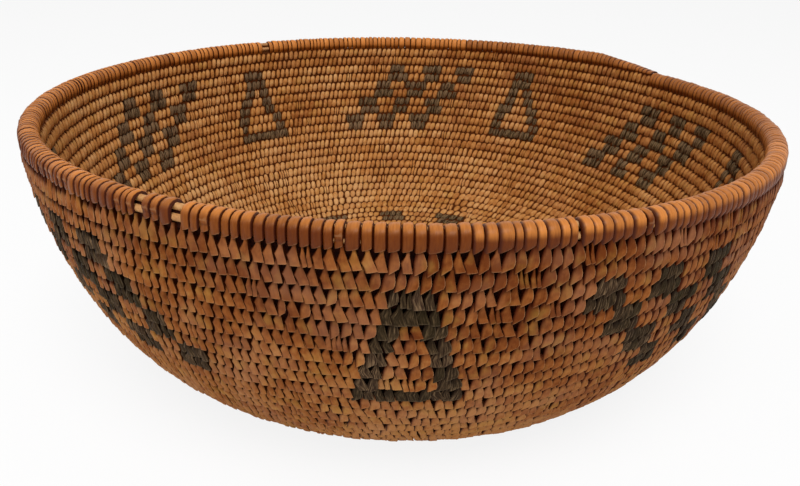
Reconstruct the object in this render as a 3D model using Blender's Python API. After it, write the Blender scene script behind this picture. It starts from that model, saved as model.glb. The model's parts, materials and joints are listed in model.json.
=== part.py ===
"""A coiled basket bowl.

One long coil starts at a knot in the middle of the base and winds out and up to the rim. Its foundation is three thin
rods that run the whole way. Splints wrap them, stitch by stitch, and each stitch is caught in the turn below, so the
wrapping is a hollow sleeve, threaded on the foundation. Each turn of the wall has its own sleeve here. On the wall and
the base the three rods lie tight together as one bar of three sides. In the rim they are three round rods, and they
show where rim stitches have worn away.

Distances along the wall are measured from the rim's middle line, down the wall and in across the base. Angles round
the basket are swept the way that the coil goes down, from the place where it ends at the rim.
"""
import math

import bmesh
import bpy

# The bowl, in metres and degrees
RIM_RADIUS = 0.1506             # out to the corners of the rim coil's middle line, so its flats lie at 0.1493
WALL_LEAN = (0.0, 11.5, 22.0, 38.0, 77.5, 90.0)   # the wall's lean from upright, at equal steps down from the rim
LEAN_STEP = 0.030               # along the wall, from one of those leans to the next
TRACE_STEP = 0.0005             # fineness of the traced wall line
CLEARANCE = 0.0003              # between any two pieces that touch

# The coil
COIL_PITCH = 0.0053             # along the wall, from one turn to the next
WALL_THICKNESS = 0.0076
OUTER_LEDGE = 0.0013            # a turn's lower outer edge stands out this far past its upper one
INNER_LEDGE = 0.0008            # and its upper inner edge past its lower one
WALL_TURNS = 25                 # turns below the rim, each a piece of its own
BASE_PIECES = 8                 # that the turns of the base are shared out among
FOUNDATION_PIECES = 8           # and the foundation of wall and base
FOUNDATION_WIDTH = 0.0036       # across the three rods where two lie side by side
FOUNDATION_HEIGHT = 0.0030
START_KNOT_RADIUS = 0.004
TURN_SIDES = 24                 # straight stretches in a turn
NARROW_TURNS = 5                # innermost turns, with fewer, so that they don't get too short
NARROW_TURN_SIDES = 12

# The rim
RIM_END_AZIMUTH = 26.0          # where the coil ends, seen from above, from +X towards +Y
RIM_HALF_WIDTH = 0.0036
RIM_RISE = 0.0043               # from the rim coil's middle line up to its top
RIM_SHOULDER = 0.55             # share of the width that is left at the top
RIM_SHOULDER_DROP = 0.75        # share of the rise where the side turns in
RIM_FOOT = 0.80                 # share of the width at the bottom, where it sits on the turn below
RIM_SPLINT_THICKNESS = 0.0006
RIM_TAPER_SIDES = 1             # stretches over which the coil's end thins out
RIM_TIP = 0.25                  # share of the height that is left at the very end
RIM_TIP_WAIST = 0.6             # where the thinning end is widest, as a share of its height
ROD_RADIUS = 0.00105
ROD_SIDES = 6
ROD_PLACES = {                  # down from the rim's middle line, and outwards from it
    "rim_rod_outer": (0.0003, 0.0015),
    "rim_rod_inner": (0.0003, -0.0015),
    "rim_rod_top": (-0.0021, 0.0),
}
WORN_RIM = (                    # azimuth and length of each place where rim stitches are gone
    (125.2, 0.0045),
    (-117.3, 0.0030),
    (-112.5, 0.0030),
    (-73.0, 0.0022),
)

SMOOTH_ANGLE = 35.0
NATURAL = (0.42, 0.19, 0.075)
NATURAL_BASE = (0.46, 0.25, 0.11)
RIM_COLOUR = (0.50, 0.20, 0.07)
ROD_COLOUR = (0.62, 0.38, 0.17)


def lean_at(along):
    """Lean of the wall from upright, in radians."""
    step = min(max(along / LEAN_STEP, 0.0), len(WALL_LEAN) - 1.0)
    knot = min(int(step), len(WALL_LEAN) - 2)
    share = step - knot
    return math.radians(WALL_LEAN[knot] * (1.0 - share) + WALL_LEAN[knot + 1] * share)


def trace_wall():
    """Radius and height of the middle of the wall, from the rim to the middle of the base."""
    radius, height = RIM_RADIUS, 0.0
    track = []
    while radius > 0.0:
        track.append((radius, height))
        lean = lean_at((len(track) - 0.5) * TRACE_STEP)
        radius -= TRACE_STEP * math.sin(lean)
        height -= TRACE_STEP * math.cos(lean)
    lift = WALL_THICKNESS / 2.0 - height
    return [(r, h + lift) for r, h in track]


WALL = trace_wall()
WALL_LENGTH = TRACE_STEP * (len(WALL) - 1) + WALL[-1][0]
HALF_COIL = (COIL_PITCH - CLEARANCE) / 2.0
COIL_TURNS = (WALL_LENGTH - START_KNOT_RADIUS - CLEARANCE - HALF_COIL) / COIL_PITCH


def wall_point(along, out):
    """Radius and height of a point at a distance along the wall and outwards from its middle."""
    steps = along / TRACE_STEP
    first = min(max(int(steps), 0), len(WALL) - 2)
    share = steps - first
    lean = lean_at(along)
    radius = WALL[first][0] * (1.0 - share) + WALL[first + 1][0] * share
    height = WALL[first][1] * (1.0 - share) + WALL[first + 1][1] * share
    return radius + out * math.cos(lean), height - out * math.sin(lean)


def basket_point(along, out, swept, sides):
    """A point on the coil, whose turns have flat sides: the radius is full at each corner and less between."""
    radius, height = wall_point(along, out)
    half_side = math.pi / sides
    from_middle = math.radians(swept) % (2.0 * half_side) - half_side
    radius *= math.cos(half_side) / math.cos(from_middle)
    azimuth = math.radians(RIM_END_AZIMUTH + swept)
    return radius * math.cos(azimuth), radius * math.sin(azimuth), height


def turn_length(turn, swept=0.0):
    """Distance along the wall at which a turn's middle line lies."""
    return COIL_PITCH * (turn + swept / 360.0)


def end_angle(turn, swept):
    """Half of the clearance between two pieces laid end to end, as an angle."""
    return math.degrees(CLEARANCE / 2.0 / wall_point(turn_length(turn, swept), 0.0)[0])


def coil_section(along):
    """Corners of an ordinary coil, as (along, out) pairs from its middle. It is flat underneath on the base."""
    ledge = max(math.cos(lean_at(along)), 0.0)
    half = WALL_THICKNESS / 2.0
    return [
        (-HALF_COIL, half - OUTER_LEDGE * ledge),
        (HALF_COIL, half),
        (HALF_COIL, INNER_LEDGE - half),
        (-HALF_COIL, -half),
    ]


def foundation_section(grow=0.0):
    """The three rods' outline, grown on every side by the room that their sleeve leaves them."""
    half = FOUNDATION_WIDTH / 2.0
    slope = math.hypot(half, FOUNDATION_HEIGHT)
    inside_radius = half * FOUNDATION_HEIGHT / (half + slope)
    scale = (inside_radius + grow) / inside_radius
    foot, tip = inside_radius * scale, (inside_radius - FOUNDATION_HEIGHT) * scale
    return [(tip, 0.0), (foot, half * scale), (foot, -half * scale)]


def arch_section(width, rise, foot, shoulder):
    """Corners of a low arch on a flat foot. Its side turns in at the shoulder."""
    return [
        (-rise, width * RIM_SHOULDER),
        (shoulder, width),
        (foot, width * RIM_FOOT),
        (foot, -width * RIM_FOOT),
        (shoulder, -width),
        (-rise, -width * RIM_SHOULDER),
    ]


def rim_section(skin=0.0):
    """The rim coil, or the bore of its wrapping when it is drawn in by the splint's thickness."""
    rise = RIM_RISE - skin
    return arch_section(RIM_HALF_WIDTH - skin, rise, HALF_COIL - skin, -rise * RIM_SHOULDER_DROP)


def rim_end_section(swept):
    """The rim coil where it thins out towards its end."""
    share = min(swept * TURN_SIDES / 360.0 / RIM_TAPER_SIDES, 1.0)
    height = (RIM_RISE + HALF_COIL) * (RIM_TIP + (1.0 - RIM_TIP) * share)
    width = RIM_HALF_WIDTH * (1.0 + share) / 2.0
    return arch_section(width, height - HALF_COIL, HALF_COIL, HALF_COIL - height * RIM_TIP_WAIST)


def rod_section(place):
    along, out = place
    corners = [-2.0 * math.pi * corner / ROD_SIDES for corner in range(ROD_SIDES)]
    return [(along + ROD_RADIUS * math.cos(angle), out + ROD_RADIUS * math.sin(angle)) for angle in corners]


def sides_of_turn(turn):
    return TURN_SIDES if turn <= int(COIL_TURNS) - NARROW_TURNS else NARROW_TURN_SIDES


def stops(start, stop):
    """Every (turn, swept) at which the coil bends, from one place on it to another."""
    (turn, swept), (last_turn, last_swept) = start, stop
    places = [(turn, swept + end_angle(turn, swept))]
    while (turn, swept) < (last_turn, last_swept):
        side = 360.0 / sides_of_turn(turn)
        swept = side * (math.floor(swept / side + 1e-6) + 1)
        if swept > 360.0 - side / 2.0:
            turn, swept = turn + 1, 0.0
        if (turn, swept) < (last_turn, last_swept):
            places.append((turn, swept))
    places.append((last_turn, last_swept - end_angle(last_turn, last_swept)))
    return places


def ring(mesh, section, turn, swept):
    """Corner points of a section, at one place on the coil."""
    middle = turn_length(turn, swept)
    sides = sides_of_turn(turn)
    return [mesh.verts.new(basket_point(middle + along, out, swept, sides)) for along, out in section]


def join_rings(mesh, first, second):
    count = len(first)
    for i in range(count):
        j = (i + 1) % count
        mesh.faces.new((first[i], first[j], second[j], second[i]))


def skin(mesh, places, section_at):
    """The side faces of a bar along the coil. Gives its first and last rings."""
    rings = [ring(mesh, section_at(turn, swept), turn, swept) for turn, swept in places]
    for first, second in zip(rings, rings[1:]):
        join_rings(mesh, first, second)
    return rings[0], rings[-1]


def add_bar(mesh, places, section_at):
    """A closed solid bar along the coil."""
    first, last = skin(mesh, places, section_at)
    mesh.faces.new(list(reversed(first)))
    mesh.faces.new(last)


def cap_sleeve(mesh, outer, bore):
    """The flat face at a sleeve's end, as triangles between its outline and its bore."""
    corners, inner_corners = len(outer), len(bore)
    nearest = min(range(inner_corners), key=lambda i: (bore[i].co - outer[0].co).length)
    bore = bore[nearest:] + bore[:nearest]
    i, j = 0, 0
    while i < corners or j < inner_corners:
        here, there = outer[i % corners], bore[j % inner_corners]
        next_outer, next_bore = outer[(i + 1) % corners], bore[(j + 1) % inner_corners]
        outwards = (next_outer.co - there.co).length < (next_bore.co - here.co).length
        if j == inner_corners or (outwards and i < corners):
            mesh.faces.new((here, next_outer, there))
            i += 1
        else:
            mesh.faces.new((here, next_bore, there))
            j += 1


def add_sleeve(mesh, places, section_at, bore_at):
    """A hollow sleeve along the coil, open at both ends."""
    first, last = skin(mesh, places, section_at)
    first_bore, last_bore = skin(mesh, places, bore_at)
    cap_sleeve(mesh, first, first_bore)
    cap_sleeve(mesh, last, last_bore)


def wall_colour(name):
    if name.startswith("foundation") or name.startswith("rim_rod"):
        return ROD_COLOUR
    if name.startswith("rim"):
        return RIM_COLOUR
    return NATURAL if name.startswith("wall") else NATURAL_BASE


def splint_material(name):
    """A plain finish: redder and glossier on the rim, pale on the bare rods."""
    material = bpy.data.materials.new(name + "_finish")
    material.use_nodes = True
    shader = material.node_tree.nodes["Principled BSDF"]
    shader.inputs["Base Color"].default_value = (*wall_colour(name), 1.0)
    shader.inputs["Roughness"].default_value = 0.45 if name.startswith("rim") else 0.6
    shader.inputs["Metallic"].default_value = 0.0
    return material


def place_piece(name, mesh):
    """Turn a finished mesh into a named object."""
    bmesh.ops.recalc_face_normals(mesh, faces=mesh.faces)
    if mesh.calc_volume(signed=True) < 0.0:
        bmesh.ops.reverse_faces(mesh, faces=mesh.faces)
    data = bpy.data.meshes.new(name)
    mesh.to_mesh(data)
    mesh.free()
    data.shade_smooth()
    data.set_sharp_from_angle(angle=math.radians(SMOOTH_ANGLE))
    data.materials.append(splint_material(name))
    bpy.context.scene.collection.objects.link(bpy.data.objects.new(name, data))


def place_on_coil(turns):
    """The turn and angle nearest to a number of turns, at the end of one of the coil's straight stretches."""
    turn = int(turns)
    side = 360.0 / sides_of_turn(turn)
    return turn, int((turns - turn) * 360.0 / side) * side


def coil_start():
    """Where the coil starts, beside the start knot."""
    return place_on_coil(COIL_TURNS)


def share_out(first_turn, pieces):
    """The ends of equal stretches of coil, from the start of a turn down to the start knot."""
    stop = coil_start()
    turns = stop[0] + stop[1] / 360.0 - first_turn
    places = [place_on_coil(first_turn + turns * number / pieces) for number in range(pieces)]
    return places + [stop]


def ordinary_section(turn, swept):
    return coil_section(turn_length(turn, swept))


def build_wrapping(name, start, stop):
    """The wrapping of a stretch of ordinary coil."""
    mesh = bmesh.new()
    add_sleeve(mesh, stops(start, stop), ordinary_section, lambda turn, swept: foundation_section(CLEARANCE))
    place_piece(name, mesh)


def build_foundation(name, start, stop):
    mesh = bmesh.new()
    add_bar(mesh, stops(start, stop), lambda turn, swept: foundation_section())
    place_piece(name, mesh)


def build_coils():
    """Every turn below the rim, and the foundation inside them."""
    for turn in range(1, WALL_TURNS + 1):
        build_wrapping(f"wall_coil_{turn:02d}", (turn, 0.0), (turn + 1, 0.0))
    places = share_out(WALL_TURNS + 1, BASE_PIECES)
    for number, (start, stop) in enumerate(zip(places, places[1:]), 1):
        build_wrapping(f"base_coils_{number}", start, stop)
    places = share_out(1, FOUNDATION_PIECES)
    for number, (start, stop) in enumerate(zip(places, places[1:]), 1):
        build_foundation(f"foundation_{number}", start, stop)


def build_rim():
    """The last turn: a thinning end, then hollow wrapping round three rods, broken where stitches are gone."""
    side = 360.0 / TURN_SIDES
    taper = (0, RIM_TAPER_SIDES * side)
    mesh = bmesh.new()
    add_bar(mesh, stops((0, 0.0), taper), lambda turn, swept: rim_end_section(swept))
    place_piece("rim_end", mesh)
    for name, place in ROD_PLACES.items():
        mesh = bmesh.new()
        add_bar(mesh, stops(taper, (1, 0.0)), lambda turn, swept: rod_section(place))
        place_piece(name, mesh)
    edges = [taper]
    for azimuth, length in WORN_RIM:
        middle = (azimuth - RIM_END_AZIMUTH) % 360.0
        reach = math.degrees(length / RIM_RADIUS) / 2.0
        edges += [(0, middle - reach), (0, middle + reach)]
    edges.append((1, 0.0))
    for number, (start, stop) in enumerate(zip(edges[0::2], edges[1::2]), 1):
        mesh = bmesh.new()
        add_sleeve(
            mesh,
            stops(start, stop),
            lambda turn, swept: rim_section(),
            lambda turn, swept: rim_section(RIM_SPLINT_THICKNESS),
        )
        place_piece(f"rim_wrapping_{number}", mesh)


def build_start_knot():
    """The button in the middle. Its outline follows the first turn's inner edge, so it has one step in it."""
    turn, swept = coil_start()
    sides = sides_of_turn(turn)
    side = 360.0 / sides
    mesh = bmesh.new()
    half = WALL_THICKNESS / 2.0
    inner_edge = HALF_COIL + CLEARANCE
    outline = []
    for step in range(sides + 1):
        here = swept - 360.0 + step * side
        outline.append((turn_length(turn, here) + inner_edge, here))
    low = [mesh.verts.new(basket_point(along, half, here, sides)) for along, here in outline]
    high = [mesh.verts.new(basket_point(along, -half, here, sides)) for along, here in outline]
    join_rings(mesh, low, high)
    mesh.faces.new(list(reversed(low)))
    mesh.faces.new(high)
    place_piece("start_knot", mesh)


def build_basket():
    for old in list(bpy.data.objects):
        bpy.data.objects.remove(old)
    build_start_knot()
    build_coils()
    build_rim()


build_basket()
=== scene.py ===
# %% [markdown]
# # A coiled basket bowl
# One long coil starts at a knot in the middle of the base and winds out and up to the rim. Thin splints
# wrap it and sew each turn to the turn below. About eight thousand stitches make the surface that we see,
# so most of this lesson is about making one good stitch and then letting Geometry Nodes put it everywhere.
#
# The imported model is the frame. It already has the true sizes, and most new pieces take the place of one
# of its nodes, which is then hidden.

# %% Load the imported model
import json
import math
import random

import bmesh
import bpy
from mathutils import Matrix, Vector

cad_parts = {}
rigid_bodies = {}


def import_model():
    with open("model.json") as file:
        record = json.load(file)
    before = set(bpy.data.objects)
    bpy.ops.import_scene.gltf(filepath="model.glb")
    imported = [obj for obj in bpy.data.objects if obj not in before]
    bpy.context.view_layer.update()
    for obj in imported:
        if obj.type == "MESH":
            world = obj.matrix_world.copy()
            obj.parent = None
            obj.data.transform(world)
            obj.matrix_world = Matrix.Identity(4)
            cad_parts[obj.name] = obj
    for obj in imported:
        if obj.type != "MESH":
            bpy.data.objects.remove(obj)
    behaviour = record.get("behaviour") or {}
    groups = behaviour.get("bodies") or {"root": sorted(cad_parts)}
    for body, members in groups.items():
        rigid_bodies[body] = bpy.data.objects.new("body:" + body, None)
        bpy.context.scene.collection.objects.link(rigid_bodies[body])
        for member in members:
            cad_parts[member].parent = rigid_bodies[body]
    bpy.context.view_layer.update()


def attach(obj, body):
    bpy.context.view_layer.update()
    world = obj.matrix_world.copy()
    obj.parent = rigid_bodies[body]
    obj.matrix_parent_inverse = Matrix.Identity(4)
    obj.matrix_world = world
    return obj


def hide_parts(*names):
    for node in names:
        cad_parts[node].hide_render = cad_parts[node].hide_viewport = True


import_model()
MM = 0.001

# %% [markdown]
# ## The line of the wall
# A section through the bowl shows how the wall leans: almost upright at the rim, then in towards a flat
# base. We walk down the wall in small steps and lean a little more at each one, which gives the radius and
# the height of any point. The coil goes down by one pitch in each turn, so a number of turns, such as 4.25,
# names any place on it.

# %% Radius and height of the wall
RIM_RADIUS = 0.150
WALL_LEAN = (0.0, 11.5, 22.0, 38.0, 77.5, 90.0)  # degrees from upright, one after each step down the wall
LEAN_STEP = 0.030
TRACE_STEP = 0.0005
WALL_THICKNESS = 0.0076
COIL_PITCH = 0.0053
RIM_END_AZIMUTH = 26.0
WALL_TURNS = 25  # below the rim


def lean_at(along):
    step = min(max(along / LEAN_STEP, 0.0), len(WALL_LEAN) - 1.0)
    knot = min(int(step), len(WALL_LEAN) - 2)
    share = step - knot
    return math.radians(WALL_LEAN[knot] * (1.0 - share) + WALL_LEAN[knot + 1] * share)


def trace_wall():
    radius, height = RIM_RADIUS, 0.0
    track = []
    while radius > 0.0:
        track.append((radius, height))
        lean = lean_at((len(track) - 0.5) * TRACE_STEP)
        radius -= TRACE_STEP * math.sin(lean)
        height -= TRACE_STEP * math.cos(lean)
    lift = WALL_THICKNESS / 2.0 - height
    return [(r, h + lift) for r, h in track]


WALL = trace_wall()
RIM_HEIGHT = WALL[0][1]
COIL_TURNS = (TRACE_STEP * (len(WALL) - 1) + WALL[-1][0]) / COIL_PITCH


def azimuth_at(turns):
    """Degrees round the bowl after some turns. The photograph's right is 0 and its front -90."""
    return RIM_END_AZIMUTH + 360.0 * turns


def turns_to(azimuth):
    """The part of a turn that lies between the coil's end and an azimuth."""
    return (azimuth - RIM_END_AZIMUTH) % 360.0 / 360.0


def wall_point(along, out=0.0):
    """Radius and height at a distance down from the rim, and outwards from the middle of the wall."""
    steps = along / TRACE_STEP
    first = min(max(int(steps), 0), len(WALL) - 2)
    share = steps - first
    lean = lean_at(along)
    radius = WALL[first][0] * (1.0 - share) + WALL[first + 1][0] * share
    height = WALL[first][1] * (1.0 - share) + WALL[first + 1][1] * share
    return radius + out * math.cos(lean), height - out * math.sin(lean)


def coil_point(turns, below=0.0, out=0.0):
    """A point on the coil, moved down the wall and outwards from the coil's middle line."""
    radius, height = wall_point(turns * COIL_PITCH + below, out)
    azimuth = math.radians(azimuth_at(turns))
    return Vector((radius * math.cos(azimuth), radius * math.sin(azimuth), height))


print("rim height", round(RIM_HEIGHT, 4), "turns", round(COIL_TURNS, 1))

# %% [markdown]
# ## The camera
# The photograph looks down into the bowl at about 25 degrees, from 0.3 m in front of its middle, through a
# wide lens. It is turned clockwise by a little over one degree. A matrix built from three directions sets
# all of that at once.

# %% Camera
CAMERA_PLACE = Vector((-0.0004, -0.2990, RIM_HEIGHT + 0.0645))
CAMERA_PITCH = 0.43541  # downwards, in radians
CAMERA_ROLL = 0.02088
CAMERA_LENS = 30.0
SENSOR_WIDTH = 36.0


def new_object(name, data):
    """An object that is linked into the scene."""
    made = bpy.data.objects.new(name, data)
    bpy.context.scene.collection.objects.link(made)
    return made


forward = Vector((0.0, math.cos(CAMERA_PITCH), -math.sin(CAMERA_PITCH)))
level_up = Vector((0.0, math.sin(CAMERA_PITCH), math.cos(CAMERA_PITCH)))
level_right = Vector((1.0, 0.0, 0.0))
right = math.cos(CAMERA_ROLL) * level_right + math.sin(CAMERA_ROLL) * level_up
up = math.cos(CAMERA_ROLL) * level_up - math.sin(CAMERA_ROLL) * level_right
camera = new_object("camera", bpy.data.cameras.new("camera"))
camera.matrix_world = Matrix.Translation(CAMERA_PLACE) @ Matrix((right, up, -forward)).transposed().to_4x4()
camera.data.lens = CAMERA_LENS
camera.data.sensor_width = SENSOR_WIDTH
camera.data.clip_start = 0.01
bpy.context.scene.camera = camera
print("camera at", [round(v, 3) for v in camera.location])

# %% [markdown]
# ## Nodes written as Python
# A wrapper round a socket lets us write `1 - mask * 0.5` and get the Math nodes for it. It works in a
# material and in a Geometry Nodes tree, because both use the same Math node. Everything else goes through
# one function that takes a node's type, its settings, and the values or links of its sockets.

# %% A wrapper for sockets
class Wire:
    """An output socket. Arithmetic on it adds Math nodes to its tree."""

    def __init__(self, tree, socket):
        self.tree = tree
        self.socket = socket

    def math(self, operation, *others):
        sockets = dict(enumerate((self,) + others))
        return add_node(self.tree, "ShaderNodeMath", {"operation": operation}, sockets)

    def __add__(self, other):
        return self.math("ADD", other)

    def __sub__(self, other):
        return self.math("SUBTRACT", other)

    def __rsub__(self, other):
        return self * -1.0 + other

    def __mul__(self, other):
        return self.math("MULTIPLY", other)

    __radd__ = __add__
    __rmul__ = __mul__


def add_node(tree, kind, settings=None, sockets=None, output=0):
    """Adds a node, sets it up, fills or links its sockets, and gives one of its outputs."""
    node = tree.nodes.new(kind)
    for name, value in (settings or {}).items():
        if name == "stops":
            elements = node.color_ramp.elements
            while len(elements) < len(value):
                elements.new(1.0)
            for stop, (place, colour) in zip(elements, value):
                stop.position, stop.color = place, (*colour, 1.0)
        else:
            setattr(node, name, value)
    for key, value in (sockets or {}).items():
        if isinstance(value, Wire):
            tree.links.new(value.socket, node.inputs[key])
        else:
            node.inputs[key].default_value = value
    return Wire(tree, node.outputs[output])


# %% Small mixes that the finishes share
def smooth(value, low, high):
    """0 below low, 1 above high, and a soft step between."""
    sockets = {0: value, 1: low, 2: high}
    return add_node(value.tree, "ShaderNodeMapRange", {"interpolation_type": "SMOOTHSTEP"}, sockets)


def mix_colour(share, first, second):
    sockets = {0: share, 6: first, 7: second}
    return add_node(share.tree, "ShaderNodeMix", {"data_type": "RGBA"}, sockets, 2)


def ramp(value, *stops):
    return add_node(value.tree, "ShaderNodeValToRGB", {"stops": stops}, {0: value})


def noise(place, scale, detail=2.0, roughness=0.5):
    sockets = {"Vector": place, "Scale": scale, "Detail": detail, "Roughness": roughness}
    return add_node(place.tree, "ShaderNodeTexNoise", None, sockets)


def attribute(tree, name):
    return add_node(tree, "ShaderNodeAttribute", {"attribute_name": name}, None, "Fac")


def object_place(tree):
    return add_node(tree, "ShaderNodeTexCoord", None, None, "Object")


def vector(x, y, z):
    tree = next(v.tree for v in (x, y, z) if isinstance(v, Wire))
    return add_node(tree, "ShaderNodeCombineXYZ", None, {0: x, 1: y, 2: z})


def new_finish(name, colour, roughness, height, bump_depth, specular):
    """Links the given colour, roughness and height into a new material's own shader."""
    tree = colour.tree
    shader = tree.nodes["Principled BSDF"]
    bump = {"Strength": 1.0, "Distance": bump_depth, "Height": height}
    bump = add_node(tree, "ShaderNodeBump", None, bump)
    for key, wire in {"Base Color": colour, "Roughness": roughness, "Normal": bump}.items():
        tree.links.new(wire.socket, shader.inputs[key])
    shader.inputs["Specular IOR Level"].default_value = specular
    print("finish", name)


def start_finish(name):
    material = bpy.data.materials.new(name)
    material.use_nodes = True
    return material, material.node_tree


# %% [markdown]
# ## The splints' finish
# Each stitch carries a few numbers that the finish reads: the `tone` of the splint it was cut from, how far
# `across` and `down` that splint we are, how `light` its edge is, which is its paler cut edge and a painted
# highlight, how much painted shade falls on it in the creases between stitches, and whether this is its
# `inside` face. Long thin noise along the splint makes the fibres. Wider noise over the bowl makes the
# colour drift. The wall is darker towards the rim and paler towards the floor.

# %% Natural splint
OUTSIDE_TONES = ((0.1, (0.135, 0.032, 0.006)), (0.5, (0.265, 0.082, 0.018)), (0.9, (0.400, 0.165, 0.045)))
INSIDE_TONES = ((0.1, (0.290, 0.095, 0.020)), (0.5, (0.520, 0.225, 0.062)), (0.9, (0.690, 0.375, 0.145)))
CUT_EDGE_AND_HIGHLIGHT = (0.52, 0.28, 0.13, 1.0)
OLIVE = (0.42, 0.24, 0.045, 1.0)
DUSTY = (0.38, 0.18, 0.10, 1.0)
CREASE_SHADE = (0.045, 0.006, 0.001, 1.0)
INSIDE_CREASE_SHADE = (0.140, 0.030, 0.004, 1.0)
TONE_JUMPS = (91.0, 37.0)  # take each splint's fibres from another part of the noise
FIBRE_LENGTH = 1.6


def fibres(tree, tone, fineness):
    """Streaks that run along the splint, different on each one."""
    across = attribute(tree, "across") * fineness + tone * TONE_JUMPS[0]
    place = vector(across, attribute(tree, "down") * FIBRE_LENGTH, tone * TONE_JUMPS[1])
    return noise(place, 1.0, 3.0, 0.6)


def splint_finish():
    material, tree = start_finish("natural_splint")
    tone = attribute(tree, "tone")
    inside = attribute(tree, "inside")
    place = object_place(tree)
    height = add_node(tree, "ShaderNodeSeparateXYZ", None, {0: place}, 2)
    streaks = fibres(tree, tone, 6.0)
    blotches = noise(place, 420.0)
    drift = noise(place, 26.0)
    # darker towards the rim and paler towards the floor, more so outside than inside
    shade = tone * 0.5 + streaks * 0.4 + drift * 0.7 + blotches * 0.9 - height * 6.0 - 0.33
    shade = shade + inside * (height * 4.0 - 0.26)
    colour = mix_colour(inside, ramp(shade, *OUTSIDE_TONES), ramp(shade, *INSIDE_TONES))
    colour = mix_colour(smooth(noise(place, 150.0), 0.5, 0.75) * 0.3, colour, OLIVE)
    colour = mix_colour(smooth(noise(place, 55.0), 0.4, 0.7) * (0.3 - inside * 0.15), colour, DUSTY)
    # pale cut edges with a painted highlight along the lower and right edges
    colour = mix_colour(smooth(attribute(tree, "light"), 0.6, 1.0) * 0.7, colour, CUT_EDGE_AND_HIGHLIGHT)
    # painted shade in the creases between stitches: near black outside, dark red-brown inside
    deep = mix_colour(inside, CREASE_SHADE, INSIDE_CREASE_SHADE)
    weaker_floor_shade = inside * 0.45 - inside * height * 4.5  # painted crease shade is weaker on the inside towards the floor
    colour = mix_colour(smooth(attribute(tree, "groove"), 0.1, 1.0) * (0.95 - weaker_floor_shade), colour, deep)
    new_finish("natural_splint", colour, 0.66 - streaks * 0.2, streaks + blotches, 0.0001, 0.04)
    return material


NATURAL = splint_finish()

# %% [markdown]
# The dark splints are dyed or naturally dark. They look charcoal, a little olive or purple from stitch to
# stitch, with pale fibres showing through, and they hardly shine.

# %% Dark splint
DARK_TONES = ((0.25, (0.012, 0.005, 0.002)), (0.5, (0.062, 0.036, 0.017)), (0.8, (0.240, 0.150, 0.075)))
DARK_HUES = ((0.0, (0.080, 0.066, 0.026)), (0.45, (0.068, 0.044, 0.024)), (1.0, (0.095, 0.045, 0.036)))
DARK_EDGE_AND_HIGHLIGHT = (0.20, 0.14, 0.085, 1.0)
DARK_INSIDE = (0.200, 0.095, 0.040, 1.0)
DARK_CREASE_SHADE = (0.012, 0.005, 0.002, 1.0)


def dark_finish():
    material, tree = start_finish("dark_splint")
    tone = attribute(tree, "tone")
    streaks = fibres(tree, tone, 9.0)
    inside = attribute(tree, "inside")
    shade = tone * 0.35 + streaks * (inside * 3.6 + 1.8) - inside * 1.47 - 0.66
    colour = mix_colour(streaks * 0.2 + 0.1, ramp(shade, *DARK_TONES), ramp(tone, *DARK_HUES))
    colour = mix_colour(inside * 0.1, colour, DARK_INSIDE)
    # pale cut edges with a painted highlight, then painted shade in the creases
    colour = mix_colour(smooth(attribute(tree, "light"), 0.5, 1.0) * 0.45, colour, DARK_EDGE_AND_HIGHLIGHT)
    colour = mix_colour(smooth(attribute(tree, "groove"), 0.15, 1.0) * 0.9, colour, DARK_CREASE_SHADE)
    new_finish("dark_splint", colour, 0.75 - streaks * 0.2, streaks, 0.0003, 0.04)
    return material


DARK = dark_finish()

# %% [markdown]
# Hands have polished the rim. Its splints are redder and glossier than the rest, and brown where they go
# down the outside. On top they are paler and more orange, partly from the polish and partly a painted sheen.

# %% Rim splint
RIM_TONES = ((0.1, (0.075, 0.012, 0.001)), (0.5, (0.140, 0.030, 0.002)), (0.9, (0.250, 0.070, 0.008)))
RIM_TOP_POLISH_AND_SHEEN = (0.760, 0.275, 0.060, 1.0)


def rim_finish():
    material, tree = start_finish("rim_splint")
    tone = attribute(tree, "tone")
    place = object_place(tree)
    streaks = fibres(tree, tone, 7.0)
    shade = tone * 0.6 + streaks * 0.5 + noise(place, 25.0) * 0.5 - 0.3
    colour = ramp(shade, *RIM_TONES)
    # paler and more orange towards the top: partly polish, partly a painted sheen of the light from above
    polish_and_sheen_mix = smooth(attribute(tree, "worn"), 0.1, 1.0) * (tone * 0.5 + streaks * 0.5)
    colour = mix_colour(polish_and_sheen_mix, colour, RIM_TOP_POLISH_AND_SHEEN)
    colour = mix_colour(smooth(attribute(tree, "light"), 0.5, 1.0) * 0.4, colour, CUT_EDGE_AND_HIGHLIGHT)
    colour = mix_colour(smooth(attribute(tree, "groove"), 0.2, 1.0) * 0.95, colour, CREASE_SHADE)
    new_finish("rim_splint", colour, 0.45 - streaks * 0.15, streaks, 0.0001, 0.13)
    return material


RIM = rim_finish()

# %% [markdown]
# The foundation rods are peeled shoots: pale, finely flecked wood. Behind the stitches is only shadow,
# warmer on the inside of the bowl, where light comes back from the other side.

# %% Rod wood and the shadow inside the coil
INSIDE_SHADOW = (0.075, 0.018, 0.002, 1.0)
ROD_TONES = ((0.3, (0.27, 0.105, 0.032)), (0.55, (0.45, 0.210, 0.070)), (0.8, (0.60, 0.330, 0.130)))


def rod_finish():
    material, tree = start_finish("peeled_rod")
    place = object_place(tree)
    grain = noise(place, 900.0, 3.0, 0.6)
    tone = grain * 0.7 + noise(place, 90.0) * 0.5 - 0.05
    new_finish("peeled_rod", ramp(tone, *ROD_TONES), 0.7 - grain * 0.2, grain, 0.00015, 0.3)
    return material


def shadow_finish():
    material, tree = start_finish("coil_shadow")
    place = object_place(tree)
    grain = noise(place, 700.0)
    colour = ramp(grain, (0.3, (0.010, 0.002, 0.001)), (0.7, (0.038, 0.006, 0.002)))
    colour = mix_colour(attribute(tree, "inside"), colour, INSIDE_SHADOW)
    new_finish("coil_shadow", colour, 0.9 - grain * 0.1, grain, 0.0002, 0.1)
    return material


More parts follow.
